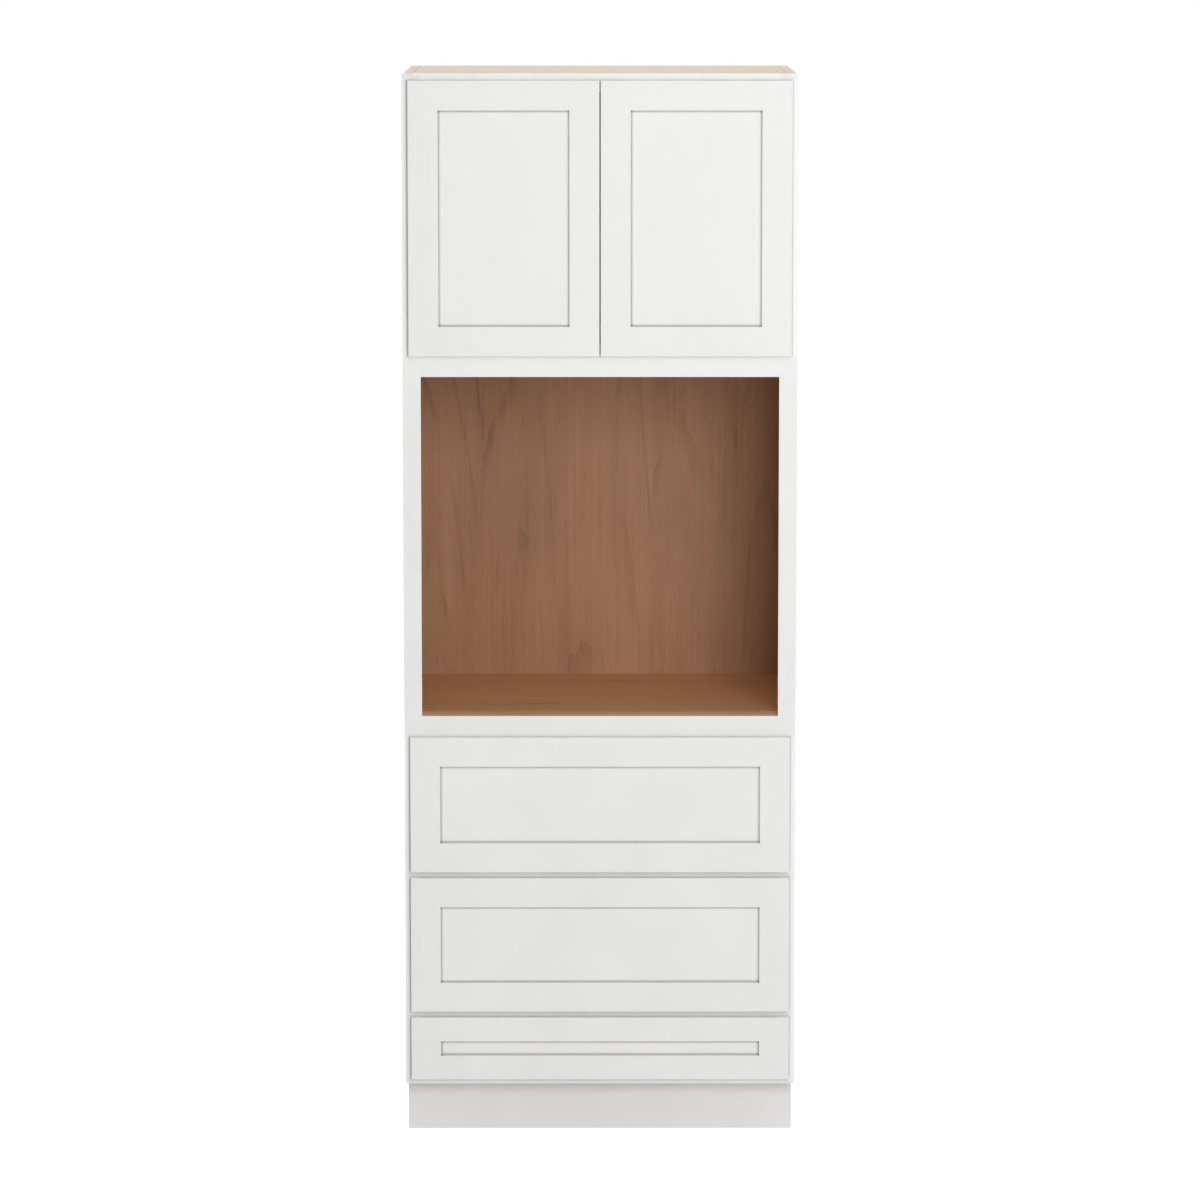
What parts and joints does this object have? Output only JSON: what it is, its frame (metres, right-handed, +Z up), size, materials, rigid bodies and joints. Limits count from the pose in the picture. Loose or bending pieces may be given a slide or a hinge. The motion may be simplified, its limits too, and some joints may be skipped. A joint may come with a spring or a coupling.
{
  "type": "tall oven cabinet",
  "caption": "Tall framed kitchen cabinet for a built-in oven, with framed-panel doors above the open oven bay, stacked drawers on under-mount slides below, and a recessed toe kick",
  "frame": {"origin": "middle of the footprint, fronts included, on the floor", "axes": "+Z up, the cabinet's front faces -Y, +X is to the right of someone facing the front"},
  "size_m": [0.8382, 0.6306, 2.286],
  "materials": {
    "white_paint": "white satin paint on hardwood",
    "side_ply": "plywood, white satin outside, clear-finished maple veneer inside",
    "maple_ply": "maple veneer plywood, clear satin",
    "drawer_maple": "solid maple, clear satin",
    "nickel_steel": "nickel-plated steel",
    "zinc_steel": "bright zinc-plated steel",
    "soft_plastic": "translucent soft bumper plastic"
  },
  "bodies": {
    "cabinet": {"left_side_panel": "side_ply", "right_side_panel": "side_ply", "top_panel": "maple_ply", "upper_floor": "maple_ply", "oven_deck": "maple_ply", "bottom_panel": "maple_ply", "back_panel": "maple_ply", "hanging_rails": "maple_ply", "toe_kick": "white_paint", "kick_backer": "maple_ply", "left_stile": "white_paint", "right_stile": "white_paint", "top_rail": "white_paint", "upper_oven_rail": "white_paint", "lower_oven_rail": "white_paint", "upper_drawer_rail": "white_paint", "lower_drawer_rail": "white_paint", "bottom_rail": "white_paint", "adjustable_shelf": "maple_ply", "shelf_pins": "nickel_steel", "slide_bases": "zinc_steel", "slide_brackets": "zinc_steel", "hinge_arms": "nickel_steel", "hinge_pins": "nickel_steel", "frame_screws": "zinc_steel", "bumpers": "soft_plastic"},
    "left_outer_links": {"left_outer_links": "nickel_steel"},
    "left_door": {"left_door_hinge_stile": "white_paint", "left_door_meeting_stile": "white_paint", "left_door_bottom_rail": "white_paint", "left_door_top_rail": "white_paint", "left_door_panel": "white_paint", "left_door_hinge_cups": "nickel_steel"},
    "left_inner_links": {"left_inner_links": "nickel_steel"},
    "right_outer_links": {"right_outer_links": "nickel_steel"},
    "right_door": {"right_door_hinge_stile": "white_paint", "right_door_meeting_stile": "white_paint", "right_door_bottom_rail": "white_paint", "right_door_top_rail": "white_paint", "right_door_panel": "white_paint", "right_door_hinge_cups": "nickel_steel"},
    "right_inner_links": {"right_inner_links": "nickel_steel"},
    "upper_drawer": {"upper_drawer_front_frame": "white_paint", "upper_drawer_front_panel": "white_paint", "upper_drawer_box_walls": "drawer_maple", "upper_drawer_box_bottom": "drawer_maple", "upper_drawer_slide_runners": "zinc_steel"},
    "upper_slide_middles": {"upper_drawer_slide_middles": "zinc_steel"},
    "middle_drawer": {"middle_drawer_front_frame": "white_paint", "middle_drawer_front_panel": "white_paint", "middle_drawer_box_walls": "drawer_maple", "middle_drawer_box_bottom": "drawer_maple", "middle_drawer_slide_runners": "zinc_steel"},
    "middle_slide_middles": {"middle_drawer_slide_middles": "zinc_steel"},
    "lower_drawer": {"lower_drawer_front_frame": "white_paint", "lower_drawer_front_panel": "white_paint", "lower_drawer_box_walls": "drawer_maple", "lower_drawer_box_bottom": "drawer_maple", "lower_drawer_slide_runners": "zinc_steel"},
    "lower_slide_middles": {"lower_drawer_slide_middles": "zinc_steel"}
  },
  "joints": [
    {"name": "left_outer_link_hinge", "type": "hinge", "parent": "cabinet", "child": "left_outer_links", "pos_m": [-0.373, -0.2941, 1.9812], "axis": [0, 0, -1], "range_deg": [-35, 0]},
    {"name": "left_door_hinge", "type": "hinge", "parent": "left_outer_links", "child": "left_door", "pos_m": [-0.3959, -0.2988, 1.9812], "axis": [0, 0, -1], "range_deg": [0, 140]},
    {"name": "left_inner_link_hinge", "type": "hinge", "parent": "cabinet", "child": "left_inner_links", "pos_m": [-0.3716, -0.3048, 1.9812], "axis": [0, 0, -1], "range_deg": [-44.1, 0]},
    {"name": "right_outer_link_hinge", "type": "hinge", "parent": "cabinet", "child": "right_outer_links", "pos_m": [0.373, -0.2941, 1.9812], "axis": [0, 0, 1], "range_deg": [-35, 0]},
    {"name": "right_door_hinge", "type": "hinge", "parent": "right_outer_links", "child": "right_door", "pos_m": [0.3959, -0.2988, 1.9812], "axis": [0, 0, 1], "range_deg": [0, 140]},
    {"name": "right_inner_link_hinge", "type": "hinge", "parent": "cabinet", "child": "right_inner_links", "pos_m": [0.3716, -0.3048, 1.9812], "axis": [0, 0, 1], "range_deg": [-44.1, 0]},
    {"name": "upper_drawer_slide", "type": "slide", "parent": "cabinet", "child": "upper_drawer", "axis": [0, -1, 0], "range_m": [0, 0.5334]},
    {"name": "upper_middle_slide", "type": "slide", "parent": "cabinet", "child": "upper_slide_middles", "axis": [0, -1, 0], "range_m": [0, 0.2667]},
    {"name": "middle_drawer_slide", "type": "slide", "parent": "cabinet", "child": "middle_drawer", "axis": [0, -1, 0], "range_m": [0, 0.5334]},
    {"name": "middle_middle_slide", "type": "slide", "parent": "cabinet", "child": "middle_slide_middles", "axis": [0, -1, 0], "range_m": [0, 0.2667]},
    {"name": "lower_drawer_slide", "type": "slide", "parent": "cabinet", "child": "lower_drawer", "axis": [0, -1, 0], "range_m": [0, 0.5334]},
    {"name": "lower_middle_slide", "type": "slide", "parent": "cabinet", "child": "lower_slide_middles", "axis": [0, -1, 0], "range_m": [0, 0.2667]}
  ],
  "couplings": [
    {"joint": "left_outer_link_hinge", "follows": "left_door_hinge", "ratio": -0.25},
    {"joint": "left_inner_link_hinge", "follows": "left_door_hinge", "ratio": -0.315},
    {"joint": "right_outer_link_hinge", "follows": "right_door_hinge", "ratio": -0.25},
    {"joint": "right_inner_link_hinge", "follows": "right_door_hinge", "ratio": -0.315},
    {"joint": "upper_middle_slide", "follows": "upper_drawer_slide", "ratio": 0.5},
    {"joint": "middle_middle_slide", "follows": "middle_drawer_slide", "ratio": 0.5},
    {"joint": "lower_middle_slide", "follows": "lower_drawer_slide", "ratio": 0.5}
  ]
}
